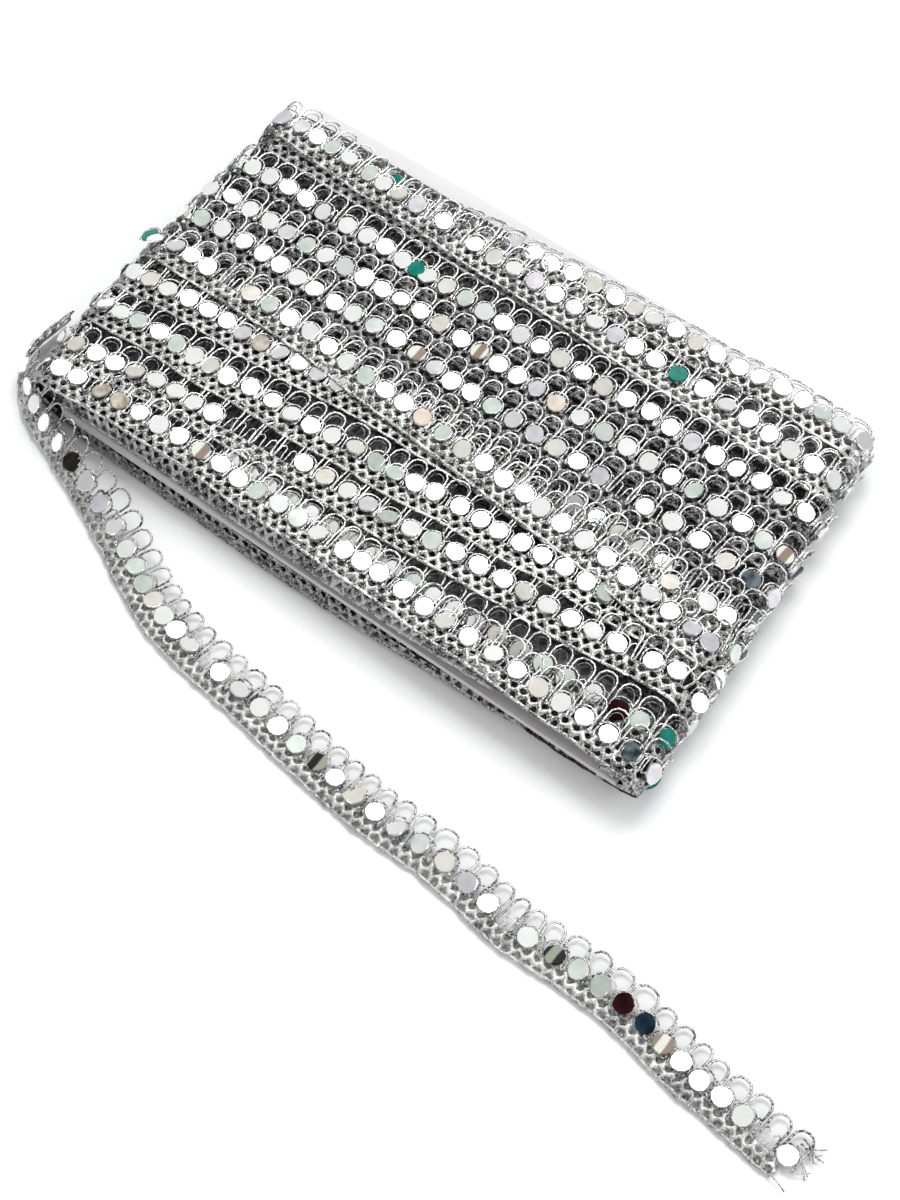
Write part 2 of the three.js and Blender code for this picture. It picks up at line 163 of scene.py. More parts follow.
# The loose end: where its plain edge meets the surface, and its lean from flat
LOOSE_PATH = [
    (-84.9, -28.2, 60), (-85.2, -31.0, 61), (-85.6, -37.0, 62), (-84.6, -43.4, 60),
    (-81.3, -47.8, 53), (-77.3, -51.6, 46.5), (-72.1, -54.5, 46), (-65.7, -56.9, 46),
    (-60.2, -59.2, 42), (-55.0, -61.2, 37), (-47.7, -64.3, 28), (-40.0, -68.1, 12),
    (-30.5, -72.8, 5), (-21.0, -76.8, 2), (-10.0, -79.4, 0), (4.0, -81.1, 0),
    (20.0, -83.4, 0), (40.0, -85.8, 0), (60.0, -86.2, 0), (78.0, -88.8, 0),
    (92.0, -88.4, 0), (104.0, -88.9, 0), (118.0, -91.6, 0), (132.0, -93.1, 0),
    (146.0, -94.8, 0),
]
LOOSE_LIFT = 0.5
LOOSE_RUNS = [(6.1, 70.4, 12), (75.0, 98.4, 6), (107.9, 136.3, 6), (141.3, 181.0, 8), (192.2, 192.2, 1),
              (198.5, 243.4, 10), (253.9, 253.9, 1)]
LOOSE_TINTED = [(6.1, "silver"), (12.0, "silver"), (17.8, "silver"), (23.6, "silver"), (29.5, "silver"),
                (35.3, "silver"), (41.2, "silver"), (46.9, "black"), (52.9, "silver"), (136.3, "moss"),
                (198.5, "moss"), (213.5, "maroon"), (218.5, "navy"), (223.4, "streaked")]

# Bands of lower turns that fold over the front edge and, at the corner, over the end: kind
# of knit, height they climb to, and points of their plain edge
FRONT_BANDS = [
    ("shaded", 10.4, [(-67, -48.1, 6.6), (-45, -48.1, 6.8), (-20, -48.4, 7.2), (5, -48.9, 7.8),
                      (30, -49.2, 8.7), (50, -49.0, 9.8)]),
    # The lace under the winding, in a darker knit: painted shade
    ("lower", 4.6, [(-64, -49.2, 0.9), (-40, -49.9, 0.8), (-10, -50.6, 0.7), (10, -50.4, 0.9),
                    (30, -49.7, 1.2), (46, -49.2, 1.6), (58, -48.2, 2.2)]),
    ("shaded", 9.2, [(73, -49.2, 4.8), (78, -49.0, 5.0), (82, -48.2, 5.2), (84.4, -45.5, 5.4)]),
]
BAND_WIDTH = 4.2
FRONT_RISE = (0.1, 0.93)
LOOSE_SPAN_STEPS = 12
FRONT_SPAN_STEPS = 16

# The inside of the winding: its deeper layers, as a near-black body that paints their shade
CORE_FRONT, CORE_BACK, CORE_RINGS, CORE_SIDES = -46.9, 46.0, 24, 48
CORE_INSET = 3.6
CORE_HALF_HEIGHT = 2.35
CORE_END_SHAPE, CORE_TOP_SHAPE = 0.25, 0.6

# Mirrors past the runs, round the ends and underneath
REST_GAP = 5.2
REST_PITCH = 5.25
REST_JITTER = 0.2
MISSING_SHARE = 0.04
RUN_JITTER = 0.12

# Thread ends at the cut: how many, in how many steps, and their sizes
FRAY, FRAY_STEPS = 11, 7
FRAY_BACK, FRAY_SCATTER = 2.6, 0.3
FRAY_REACH = (3.0, 6.0)
FRAY_ACROSS, FRAY_SPREAD, FRAY_CURL = (0.6, 10.6), 0.35, 4
FRAY_HEIGHT = 0.5

# Starts of the random draws
OUTER_SEED, INNER_SEED, INNER_STRIP_SEED = 100, 300, 40
FRONT_SEED, STRAY_SEED, LOOSE_SEED, FRAY_SEED = 61, 81, 7, 23

# Camera, fitted to the photograph
EYE = (179.3, -234.4, 421.0)
VIEW_RIGHT = (0.7934, 0.6088, 0.0)
VIEW_UP = (-0.5213, 0.6794, 0.5165)
VIEW_BACK = (0.3145, -0.4098, 0.8563)
LENS = 72.0
SENSOR = 36.0


def smooth(t):
    u = np.clip(t, 0.0, 1.0)
    return u * u * (3 - 2 * u)


def along(values, x):
    """Smooth curve through the values at the five stations."""
    x = np.clip(np.asarray(x, float), STATIONS[0], STATIONS[-1])
    values = np.asarray(values, float)
    slopes = np.gradient(values)
    place = (x - STATIONS[0]) / (STATIONS[1] - STATIONS[0])
    i = np.minimum(place.astype(int), len(values) - 2)
    u = place - i
    a, b, m, n = values[i], values[i + 1], slopes[i], slopes[i + 1]
    early = (2 * u**3 - 3 * u**2 + 1) * a + (u**3 - 2 * u**2 + u) * m
    return early + (3 * u**2 - 2 * u**3) * b + (u**3 - u**2) * n


def left_end(y):
    into = np.maximum((CORNER_FROM - y) / CORNER_DEPTH, 0.0)
    return LEFT_END + LEFT_END_SLANT * y + CORNER_CUT * into**3


def right_end(y):
    return RIGHT_END + RIGHT_END_SLANT * y


def unit(v):
    return v / np.maximum(np.linalg.norm(v, axis=-1, keepdims=True), 1e-12)


class Strip:
    """A strip of trim in space: length s along it, distance t across it and height n off its back."""

    def __init__(self, origin, across, face, closed):
        self.s = np.concatenate([[0.0], np.cumsum(np.linalg.norm(np.diff(origin, axis=0), axis=1))])
        self.length = float(self.s[-1])
        self.closed = closed
        self.origin = origin
        self.across = across
        self.face = face
        self.droop = 0.0

    def look(self, table, s):
        at = np.mod(s, self.length) if self.closed else s
        return np.stack([np.interp(at, self.s, table[:, k]) for k in range(3)], axis=-1)

    def place(self, s, t, n):
        s, t, n = np.broadcast_arrays(s, t, n)
        over = np.maximum(t - DROOP_FROM, 0.0) * self.droop
        t, n = t - over * DROOP_DRAW_IN, n - over
        level = self.look(self.origin, s) + self.look(self.across, s) * t[..., None]
        return level + self.normal(s) * n[..., None]

    def normal(self, s):
        return unit(self.look(self.face, s))

    def forward(self, s):
        return unit(np.cross(self.look(self.across, s), self.normal(s)))


def waver(rng, s, length, waves, size):
    """A gentle wander that closes on itself over the length."""
    total = np.zeros_like(s)
    for k in waves:
        total += rng.normal(0, size) * np.sin(2 * math.pi * k * s / length + rng.uniform(0, 2 * math.pi))
    return total


def wound_strip(row, seed, low, high, inset, under_low, under_high):
    """One turn: along the top, around the right end, back underneath and up the left end."""
    rng = np.random.default_rng(seed)
    edge, under = row["edge"], row["under"]
    x_from = float(left_end(along(edge, -HALF_LENGTH))) + END_RADIUS
    x_to = float(right_end(along(edge, HALF_LENGTH))) - END_RADIUS
    count = int((x_to - x_from) / STEP)
    reach = END_RADIUS - inset
    x_top = np.linspace(x_from, x_to, count)
    y_top = along(edge, x_top)
    z_top = along(low, x_top)
    lift_top = along(high, x_top) - z_top
    turn = np.linspace(0, 1, TURN_STEPS + 2)[1:-1]
    lift_under = under_low - under_high
    under_from = float(left_end(np.array(under))) + END_RADIUS
    under_to = float(right_end(np.array(under))) - END_RADIUS

    def end(share, centre_a, centre_b, side, y_a, y_b, z_a, z_b, lift_a, lift_b):
        angle = math.pi * share
        ease = smooth(share)
        x = centre_a + (centre_b - centre_a) * ease + side * reach * np.sin(angle)
        z = (z_a + z_b) / 2 + (z_a - z_b) / 2 * np.cos(angle)
        return x, y_a + (y_b - y_a) * ease, z, lift_a + (lift_b - lift_a) * ease

    right = end(turn, x_to, under_to, 1, y_top[-1], under, z_top[-1], under_low, lift_top[-1], lift_under)
    x_under = np.linspace(under_to, under_from, count)
    bulge = row.get("bulge", 0.0) * np.exp(-(((x_under - BULGE_PLACE) / BULGE_SPREAD) ** 2))
    left = end(turn, under_from, x_from, -1, under, y_top[0], under_low, z_top[0], lift_under, lift_top[0])
    x = np.concatenate([x_top, right[0], x_under, left[0], x_top[:1]])
    y = np.concatenate([y_top, right[1], under - bulge, left[1], y_top[:1]])
    z = np.concatenate([z_top, right[2], np.full(count, under_low), left[2], z_top[:1]])
    lift = np.concatenate([lift_top, right[3], np.full(count, lift_under), left[3], lift_top[:1]])
    origin = np.stack([x, y, z], axis=1)
    way = np.concatenate([[0.0], np.cumsum(np.linalg.norm(np.diff(origin, axis=0), axis=1))])
    origin[:, 1] += waver(rng, way, way[-1], SIDE_WAVES, SIDE_WANDER)
    ahead = np.roll(origin[:-1], -1, axis=0) - np.roll(origin[:-1], 1, axis=0)
    forward = unit(np.concatenate([ahead, ahead[:1]]))
    outward = unit(np.stack([-forward[:, 2], np.zeros(len(forward)), forward[:, 0]], axis=1))
    level = unit(np.cross(outward, forward))
    # At the ends the trim wraps round instead of standing off the turn
    level[:, 0::2] *= 1 - END_WRAP * np.abs(outward[:, :1])
    level = unit(level)
    lift += waver(rng, way, way[-1], LIFT_WAVES, LIFT_WANDER)
    slope = np.clip(lift / TRIM_WIDTH, -STEEPEST_SLOPE, STEEPEST_SLOPE)[:, None]
    across = level * np.sqrt(1 - slope**2) + outward * slope
    strip = Strip(origin, across, np.cross(forward, across), True)
    strip.droop = row.get("droop", 0.0)
    strip.top_x, strip.top_s = x_top, way[: len(x_top)]
    return strip


def curve_through(points, per):
    """Centripetal curve through the points, with its value at evenly spaced steps of each span."""
    points = np.asarray(points, float)
    ends = np.concatenate([[2 * points[0] - points[1]], points, [2 * points[-1] - points[-2]]])
    out, place = [], []
    for i in range(len(points) - 1):
        a, b, c, d = ends[i : i + 4]
        gap = [max(np.linalg.norm(q[:2] - p[:2]) ** 0.5, 1e-6) for p, q in ((a, b), (b, c), (c, d))]
        m1 = ((b - a) / gap[0] - (c - a) / (gap[0] + gap[1]) + (c - b) / gap[1]) * gap[1]
        m2 = ((c - b) / gap[1] - (d - b) / (gap[1] + gap[2]) + (d - c) / gap[2]) * gap[1]
        t = np.linspace(0, 1, per, endpoint=i == len(points) - 2)[:, None]
        out.append((2 * t**3 - 3 * t**2 + 1) * b + (t**3 - 2 * t**2 + t) * m1
                   + (-2 * t**3 + 3 * t**2) * c + (t**3 - t**2) * m2)
        place.append(i + t[:, 0])
    return np.concatenate(out), np.concatenate(place)


def loose_strip():
    flat = [(x, y, LOOSE_LIFT) for x, y, _ in LOOSE_PATH]
    origin, place = curve_through(flat, LOOSE_SPAN_STEPS)
    lean = np.radians(np.interp(place, range(len(LOOSE_PATH)), [p[2] for p in LOOSE_PATH]))[:, None]
    forward = unit(np.gradient(origin, axis=0))
    left = np.stack([-forward[:, 1], forward[:, 0], np.zeros(len(forward))], axis=1)
    across = left * np.cos(lean) + np.array([0.0, 0.0, 1.0]) * np.sin(lean)
    return Strip(origin, across, np.cross(forward, across), False)


class Builder:
    """Collects points and faces for one mesh, each face with the number of its material."""

    def __init__(self):
        self.points, self.blocks, self.count = [], [], 0

    def add(self, points, faces, material=0):
        points = np.asarray(points, float).reshape(-1, 3)
        faces = np.asarray(faces, np.int64)
        kinds = np.broadcast_to(material, len(faces)).astype(np.int32)
        self.points.append(points)
        self.blocks.append((faces + self.count, kinds))
        self.count += len(points)

    def tubes(self, points, normals, wide, thick, sides, closed=False, material=0):
        """Strands (K, m, 3) with an oval section, wide across and thick along the normals."""
        points, normals = np.asarray(points, float), np.asarray(normals, float)
        if closed:
            ahead = np.roll(points, -1, axis=1) - np.roll(points, 1, axis=1)
        else:
            ahead = np.gradient(points, axis=1)
        ahead = unit(ahead)
        side = unit(np.cross(ahead, normals))
        up = unit(np.cross(side, ahead))
        angle = 2 * math.pi * np.arange(sides) / sides + math.pi / 2
        ring = (points[:, :, None]
                + side[:, :, None] * (np.cos(angle)[:, None] * wide)
                + up[:, :, None] * (np.sin(angle)[:, None] * thick))
        strands, steps = points.shape[:2]
        last = steps if closed else steps - 1
        k, i, j = np.meshgrid(np.arange(strands), np.arange(last), np.arange(sides), indexing="ij")
        nxt_i, nxt_j = (i + 1) % steps, (j + 1) % sides
        at = lambda a, b: (k * steps + a) * sides + b
        faces = np.stack([at(i, j), at(nxt_i, j), at(nxt_i, nxt_j), at(i, nxt_j)], axis=-1).reshape(-1, 4)
        start = self.count
        self.add(ring, faces, material)
        if not closed:
            strand = start + np.arange(strands)[:, None] * steps * sides
            first = strand + np.arange(sides)[::-1]
            final = strand + (steps - 1) * sides + np.arange(sides)
            self.blocks.append((np.concatenate([first, final]), np.full(2 * strands, material, np.int32)))

    def mesh(self, name, materials, smooth_angle=None):
        mesh = bpy.data.meshes.new(name)
        points = np.concatenate(self.points) * MM
        mesh.vertices.add(len(points))
        mesh.vertices.foreach_set("co", points.astype(np.float32).ravel())
        corners = np.concatenate([f.ravel() for f, _ in self.blocks]).astype(np.int32)
        sizes = np.concatenate([np.full(len(f), f.shape[1]) for f, _ in self.blocks])
        starts = np.concatenate([[0], np.cumsum(sizes)[:-1]]).astype(np.int32)
        mesh.loops.add(len(corners))
        mesh.loops.foreach_set("vertex_index", corners)
        mesh.polygons.add(len(sizes))
        mesh.polygons.foreach_set("loop_start", starts)
        mesh.polygons.foreach_set("material_index", np.concatenate([m for _, m in self.blocks]))
        mesh.update(calc_edges=True)
        mesh.validate()
        for material in materials:
            mesh.materials.append(material)
        mesh.shade_smooth()
        if smooth_angle:
            mesh.set_sharp_from_angle(angle=math.radians(smooth_angle))
        obj = bpy.data.objects.new(name, mesh)
        bpy.context.scene.collection.objects.link(obj)
        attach(obj, "root")
        return obj


# One repeat of each thread: place along the repeat from -0.5 to 0.5, distance
# across the trim and height off its back
ARCH = [
    (-0.50, 3.7, 0.40), (-0.44, 4.3, 0.50), (-0.41, 5.6, 0.75), (-0.40, 7.2, 0.85), (-0.42, 8.7, 0.80),
    (-0.39, 10.0, 0.75), (-0.24, 11.0, 0.70), (0.0, 11.32, 0.66), (0.24, 11.0, 0.70), (0.39, 10.0, 0.75),
    (0.42, 8.7, 0.80), (0.40, 7.2, 0.85), (0.41, 5.6, 0.75), (0.44, 4.3, 0.50),
]
INNER_ARCH = [
    (-0.50, 7.2, 0.30), (-0.36, 7.4, 0.35), (-0.31, 8.6, 0.40), (-0.26, 9.6, 0.38), (-0.14, 10.3, 0.34),
    (0.0, 10.5, 0.32), (0.14, 10.3, 0.34), (0.26, 9.6, 0.38), (0.31, 8.6, 0.40), (0.36, 7.4, 0.35),
]
LADDER = [
    (-0.50, 3.5, 0.50), (-0.34, 3.8, 0.60), (-0.28, 5.2, 0.70), (-0.26, 6.7, 0.66), (0.0, 7.35, 0.60),
    (0.26, 6.7, 0.66), (0.28, 5.2, 0.70), (0.34, 3.8, 0.60),
]
# Thread around one mirror: along the trim from its middle, distance across, height off its back
MIRROR_ARCH = [
    (-2.05, 3.6, 0.55), (-2.30, 4.6, 0.80), (-2.34, 5.9, 1.00), (-1.95, 7.0, 1.05), (-1.05, 7.65, 1.00),
    (0.0, 7.85, 1.00), (1.05, 7.65, 1.00), (1.95, 7.0, 1.05), (2.34, 5.9, 1.00), (2.30, 4.6, 0.80),
    (2.05, 3.6, 0.55),
]
# One repeat of the knitted band, half as long as a loop's: place along it, distance across
# the trim and height. Points named rim are where the knit ends or a hole begins, and a plus
# sign in the faces takes the point from the next repeat.
BAND_POINTS = dict(
    rim_a=(0.0, 0.0, 0.24), rim_b=(0.5, 0.06, 0.24), cord_a=(0.0, 0.42, 0.44), cord_b=(0.5, 0.42, 0.44),
    rim_c=(0.21, 0.84, 0.14), rim_d=(0.50, 0.78, 0.14), rim_e=(0.79, 0.84, 0.14), rim_f=(0.71, 1.45, 0.14),
    rim_g=(0.50, 2.05, 0.14), rim_h=(0.29, 1.45, 0.14), web=(0.0, 1.35, 0.52), tip=(0.0, 2.0, 0.52),
    side_a=(0.25, 2.2, 0.50), side_b=(0.75, 2.2, 0.50), peak=(0.5, 2.45, 0.56), rim_j=(0.0, 2.34, 0.14),
    rim_k=(0.21, 2.60, 0.14), rim_l=(0.28, 3.15, 0.14), rim_m=(0.12, 3.64, 0.14), rim_n=(-0.13, 3.62, 0.14),
    rim_p=(-0.27, 3.05, 0.14), rim_q=(-0.17, 2.56, 0.14), strand=(0.5, 3.1, 0.54), top_a=(0.0, 3.92, 0.46),
    top_b=(0.5, 3.86, 0.50), rim_r=(0.0, 4.2, 0.18), rim_s=(0.5, 4.2, 0.18),
)
BAND_FACES = """
rim_a rim_b cord_b cord_a; rim_b rim_a+ cord_a+ cord_b; cord_a cord_b rim_d rim_c;
cord_b cord_a+ rim_e rim_d; cord_a rim_c rim_h web; web rim_h rim_g side_a; web side_a tip;
side_a rim_g peak; cord_a+ web+ rim_f rim_e; web+ side_b rim_g rim_f; web+ tip+ side_b;
side_b peak rim_g; tip side_a rim_k rim_j; side_a peak strand rim_k; rim_k strand rim_l;
strand top_b rim_m rim_l; top_b top_a rim_m; top_a rim_n rim_m; tip+ rim_j+ rim_q+ side_b;
side_b rim_q+ strand peak; rim_q+ rim_p+ strand; strand rim_p+ rim_n+ top_b; top_b rim_n+ top_a+;
top_a top_b rim_s rim_r; top_b top_a+ rim_r+ rim_s
"""
BAND_HOLES = ["rim_c rim_d rim_e rim_f rim_g rim_h".split(),
              "rim_j rim_k rim_l rim_m rim_n rim_p rim_q".split()]
BACK_HEIGHT = 0.02
# Lying loose the knit closes up: its holes are this much of their size
LOOSE_HOLES = 0.58
# How far the points of the knit stray, wound and loose
BAND_UNEVEN, LOOSE_UNEVEN = 0.065, 0.13
# Half widths of each thread across and up, and how unevenly it lies
LOOP_THREAD, LOOP_JITTER = (0.26, 0.24), 0.16
INNER_THREAD, INNER_JITTER = (0.11, 0.10), 0.20
LADDER_THREAD, LADDER_JITTER = (0.18, 0.17), 0.10
RIM_THREAD, RIM_JITTER = (0.19, 0.18), 0.10
FRAY_THREAD = (0.12, 0.12)
# That jitter's share across the trim and in height
ACROSS_SHARE, HEIGHT_SHARE = 0.7, 0.5
# How far the bounds of the repeats wander
CELL_WANDER, LOW_CELL_WANDER, LOOSE_CELL_WANDER = 0.12, 0.15, 0.10


def cells_of(strip, pitch, rng, wander):
    """Bounds of the repeats along a strip."""
    count = int(round(strip.length / pitch))
    bounds = np.linspace(0, strip.length, count + 1)
    bounds[1:-1] += rng.normal(0, wander, count - 1)
    return bounds


def repeated(strip, bounds, chart, rng, jitter, closed, halves=1):
    """Points and normals of one thread that runs through every repeat, as (1, m, 3)."""
    if halves == 2:
        middles = (bounds[:-1] + bounds[1:]) / 2
        bounds = np.sort(np.concatenate([bounds, middles]))
    chart = np.asarray(chart, float)
    centre = ((bounds[:-1] + bounds[1:]) / 2)[:, None]
    pitch = np.diff(bounds)[:, None]
    top = chart[:, 1].max()
    rise = ((chart[:, 1] - chart[:, 1].min()) / max(top - chart[:, 1].min(), 1e-6))[None, :]
    s = centre + pitch * chart[None, :, 0] + rng.normal(0, jitter, (len(centre), 1)) * rise
    t = chart[None, :, 1] + rng.normal(0, jitter * ACROSS_SHARE, (len(centre), 1)) * rise
    n = chart[None, :, 2] + rng.normal(0, jitter * HEIGHT_SHARE, (len(centre), 1)) * rise
    s, t, n = s.ravel(), t.ravel(), n.ravel()
    if not closed:
        s = np.clip(s, 0, strip.length)
    return strip.place(s, t, n)[None], strip.normal(s)[None]


def band_faces(kind):
    """The band's faces with that many corners, as point numbers and as steps to the next repeat."""
    names = list(BAND_POINTS)
    faces = [face.split() for face in BAND_FACES.split(";")]
    faces = [face for face in faces if len(face) == kind]
    numbers = np.array([[names.index(point.rstrip("+")) for point in face] for face in faces])
    return numbers, np.array([[point.endswith("+") for point in face] for face in faces], int)


def lay_band(build, strip, bounds, rng, closed, material=0, back=False, uneven=BAND_UNEVEN):
    """The knitted band: a cord at the plain edge, then two rows of holes half a repeat apart."""
    middles = (bounds[:-1] + bounds[1:]) / 2
    starts = np.sort(np.concatenate([bounds, middles]))
    chart = np.array(list(BAND_POINTS.values()))
    if back:
        for hole in BAND_HOLES:
            rim = [list(BAND_POINTS).index(name) for name in hole]
            middle = chart[rim, :2].mean(axis=0)
            chart[rim, :2] = middle + (chart[rim, :2] - middle) * LOOSE_HOLES
    pitch = np.diff(starts)
    count = len(pitch)
    loose_points = rng.normal(0, 1, (3, count, len(chart)))
    s = starts[:-1, None] + pitch[:, None] * chart[None, :, 0] + uneven * loose_points[0]
    t = chart[None, :, 1] + uneven * loose_points[1]
    n = chart[None, :, 2] + uneven * loose_points[2]
    if not closed:
        s = np.clip(s, 0, strip.length)
    points = [strip.place(s, t, n)]
    if back:
        points.append(strip.place(s, t, np.full_like(n, BACK_HEIGHT)))
    rims = np.array([name.startswith("rim") for name in BAND_POINTS])
    start = build.count
    total = count * len(chart)
    build.add(np.concatenate(points), np.zeros((0, 3)), material)
    for kind in (3, 4):
        numbers, steps = band_faces(kind)
        repeat = np.arange(count)[:, None, None] + steps[None]
        if closed:
            repeat %= count
        else:
            repeat = repeat[: count - 1]
        faces = start + repeat * len(chart) + numbers[None]
        blocks = [faces.reshape(-1, kind)]
        if back:
            shift = np.where(rims[numbers], 0, total)
            blocks.append((faces + shift[None]).reshape(-1, kind)[:, ::-1])
        for block in blocks:
            build.blocks.append((block, np.full(len(block), material, np.int32)))


def lay_loops(build, ladder, strip, bounds, rng, closed, sides, inner=0):
    """The edge loops, on wound rows a thinner arch inside each, and hairpins between the mirrors."""
    build.tubes(*repeated(strip, bounds, ARCH, rng, LOOP_JITTER, closed), *LOOP_THREAD, sides, closed)
    if inner is not None:
        arches = repeated(strip, bounds, INNER_ARCH, rng, INNER_JITTER, closed)
        # The inner arch has the second material, a darker thread: painted shade inside the loop
        build.tubes(*arches, *INNER_THREAD, sides, closed, inner)
    hairpins = repeated(strip, bounds, LADDER, rng, LADDER_JITTER, closed, 2)
    ladder.tubes(*hairpins, *LADDER_THREAD, sides, closed)


MIRROR_SIDES = 11
MIRROR_LEVEL = 0.86
MIRROR_BEVEL = 0.10
# How unevenly they are sewn: across, in height, in tilt (radians) and in size
MIRROR_WANDER, MIRROR_LIFT, MIRROR_TILT, MIRROR_SPREAD = 0.14, 0.05, 0.14, 0.02
# How far each is from round: waves around the rim, and their size
OUT_OF_ROUND = [(2, 0.03), (3, 0.02), (5, 0.02)]
TINTS = ["silver", "cream", "greenish", "grey", "brown", "beige", "streaked", "slate", "teal", "black",
         "maroon", "navy", "moss"]


def lay_mirrors(build, rings, strip, places, tints, rng, ring_sides=4):
    """Round mirrors, each a little uneven and tilted, with the thread that holds its rim."""
    places = np.asarray(places, float)
    count = len(places)
    across = MIRROR_ACROSS + rng.normal(0, MIRROR_WANDER, count)
    centre = strip.place(places, across, MIRROR_LEVEL + rng.normal(0, MIRROR_LIFT, count))
    up, forward = strip.normal(places), strip.forward(places)
    side = np.cross(up, forward)
    tilt = rng.normal(0, MIRROR_TILT, (count, 2))
    up = unit(up + forward * tilt[:, :1] + side * tilt[:, 1:])
    forward = unit(forward - up * (forward * up).sum(1, keepdims=True))
    side = np.cross(up, forward)
    angle = 2 * math.pi * np.arange(MIRROR_SIDES) / MIRROR_SIDES
    phase = rng.uniform(0, 2 * math.pi, (count, 3))
    radius = 1.0
    for k, (waves, size) in enumerate(OUT_OF_ROUND):
        radius = radius + size * np.cos(waves * angle + phase[:, k : k + 1])
    radius = MIRROR_RADIUS * radius * (1 + rng.normal(0, MIRROR_SPREAD, (count, 1)))
    rim = (forward[:, None] * (np.cos(angle)[None, :, None] * radius[:, :, None])
           + side[:, None] * (np.sin(angle)[None, :, None] * radius[:, :, None]))
    body = [(1.0, 0.0), (1.0, MIRROR_THICK - MIRROR_BEVEL), (1 - MIRROR_BEVEL / MIRROR_RADIUS, MIRROR_THICK)]
    layers = [centre[:, None] + rim * scale + up[:, None] * height for scale, height in body]
    points = np.stack(layers, axis=1)
    k, j = np.meshgrid(np.arange(count), np.arange(MIRROR_SIDES), indexing="ij")
    nxt = (j + 1) % MIRROR_SIDES
    at = lambda layer, b: (k * len(body) + layer) * MIRROR_SIDES + b
    kinds = np.repeat(tints, MIRROR_SIDES)
    quads = [np.stack([at(a, j), at(a, nxt), at(a + 1, nxt), at(a + 1, j)], axis=-1).reshape(-1, 4)
             for a in (0, 1)]
    start = build.count
    build.add(points, np.concatenate(quads), np.concatenate([kinds, kinds]))
    last = len(body) - 1
    tops = start + (np.arange(count)[:, None] * len(body) + last) * MIRROR_SIDES + np.arange(MIRROR_SIDES)
    bottoms = start + (np.arange(count)[:, None] * len(body)) * MIRROR_SIDES + np.arange(MIRROR_SIDES)[::-1]
    build.blocks.append((tops, np.asarray(tints, np.int32)))
    build.blocks.append((bottoms, np.asarray(tints, np.int32)))
    chart = np.array(MIRROR_ARCH)[None] + rng.normal(0, RIM_JITTER, (count, 1, 3)) * (1.0, 1.0, 0.3)
    s = places[:, None] + chart[:, :, 0]
    if not strip.closed:
        s = np.clip(s, 0, strip.length)
    points = strip.place(s, chart[:, :, 1], chart[:, :, 2])
    rings.tubes(points, strip.normal(s), *RIM_THREAD, ring_sides)


def pick_tints(rng, count):
    names, weights = zip(*PLAIN_TINTS)
    return rng.choice([TINTS.index(n) for n in names], count, p=weights)


# Materials. Scales of noise are per metre and bump depths in metres.
FLECK_SCALE, BROAD_SCALE, TWIST_SCALE = 2600, 260, 3600
FLECK_SHARE, BROAD_SHARE = 0.65, 0.35
YARN_STOPS = (0.42, 0.53)
TWIST_BUMP, TWIST_DEPTH = 0.55, 0.00012
FACE_SCALE, SMUDGE_SCALE = 420, 300
STREAK_SCALE, STREAK_WAVER = 95, 1.5
SILVERED, PLAIN_GLOSS, COLOUR_GLOSS = 0.72, 0.5, 0.06
# The card is painted greyer along its front edge as painted shade: where that shade begins
# to fade (in metres), how fast, the fibre's share, and its shaded tone and its own tone
CARD_SHADE_FADES_FROM = -0.046
CARD_SHADE_FADE = 150.0
CARD_SPECKLE = 0.3
CARD_SHADE_AND_OWN_TONES = [(0.50, 0.485, 0.49), (0.80, 0.79, 0.80)]
FIBRE_SCALE, DEEP_LOOP_SCALE, GRAIN_SCALE = 700, 520, 900


def new_material(name):
    material = bpy.data.materials.new(name)
    material.use_nodes = True
    nodes, links = material.node_tree.nodes, material.node_tree.links
    shader = nodes["Principled BSDF"]
    return material, nodes, links, shader


def noise(nodes, links, scale, detail, coords):
    texture = nodes.new("ShaderNodeTexNoise")
    texture.inputs["Scale"].default_value = scale
    texture.inputs["Detail"].default_value = detail
    links.new(coords, texture.inputs["Vector"])
    return texture


def ramp(nodes, links, value, stops):
    node = nodes.new("ShaderNodeValToRGB")
    elements = node.color_ramp.elements
    while len(elements) < len(stops):
        elements.new(0.5)
    for element, (place, colour) in zip(elements, stops):
        element.position = place
        element.color = (*colour, 1.0)
    links.new(value, node.inputs["Fac"])
    return node


def bump(nodes, links, height, strength, distance, shader):
    node = nodes.new("ShaderNodeBump")
    node.inputs["Strength"].default_value = strength
    node.inputs["Distance"].default_value = distance
    links.new(height, node.inputs["Height"])
    links.new(node.outputs["Normal"], shader.inputs["Normal"])


def thread_material(name, dark, light, roughness, metallic):
    """Metallic yarn: a fine twist that glints, with darker flecks between the filaments."""
    material, nodes, links, shader = new_material(name)
    coords = nodes.new("ShaderNodeTexCoord").outputs["Object"]
    fleck = noise(nodes, links, FLECK_SCALE, 2, coords)
    broad = noise(nodes, links, BROAD_SCALE, 2, coords)
    mixed = nodes.new("ShaderNodeMath")
    mixed.operation = "MULTIPLY_ADD"
    mixed.inputs[1].default_value = BROAD_SHARE
    links.new(broad.outputs["Fac"], mixed.inputs[0])
    scaled = nodes.new("ShaderNodeMath")
    scaled.operation = "MULTIPLY"
    scaled.inputs[1].default_value = FLECK_SHARE
    links.new(fleck.outputs["Fac"], scaled.inputs[0])
    links.new(scaled.outputs[0], mixed.inputs[2])
    tone = ramp(nodes, links, mixed.outputs[0], list(zip(YARN_STOPS, (dark, light))))
    links.new(tone.outputs["Color"], shader.inputs["Base Color"])
    rough = ramp(nodes, links, fleck.outputs["Fac"],
                 [(0.3, (roughness * 0.7,) * 3), (0.7, (roughness * 1.4,) * 3)])
    links.new(rough.outputs["Color"], shader.inputs["Roughness"])
    shader.inputs["Metallic"].default_value = metallic
    twist = noise(nodes, links, TWIST_SCALE, 1, coords)
    bump(nodes, links, twist.outputs["Fac"], TWIST_BUMP, TWIST_DEPTH, shader)
    return material


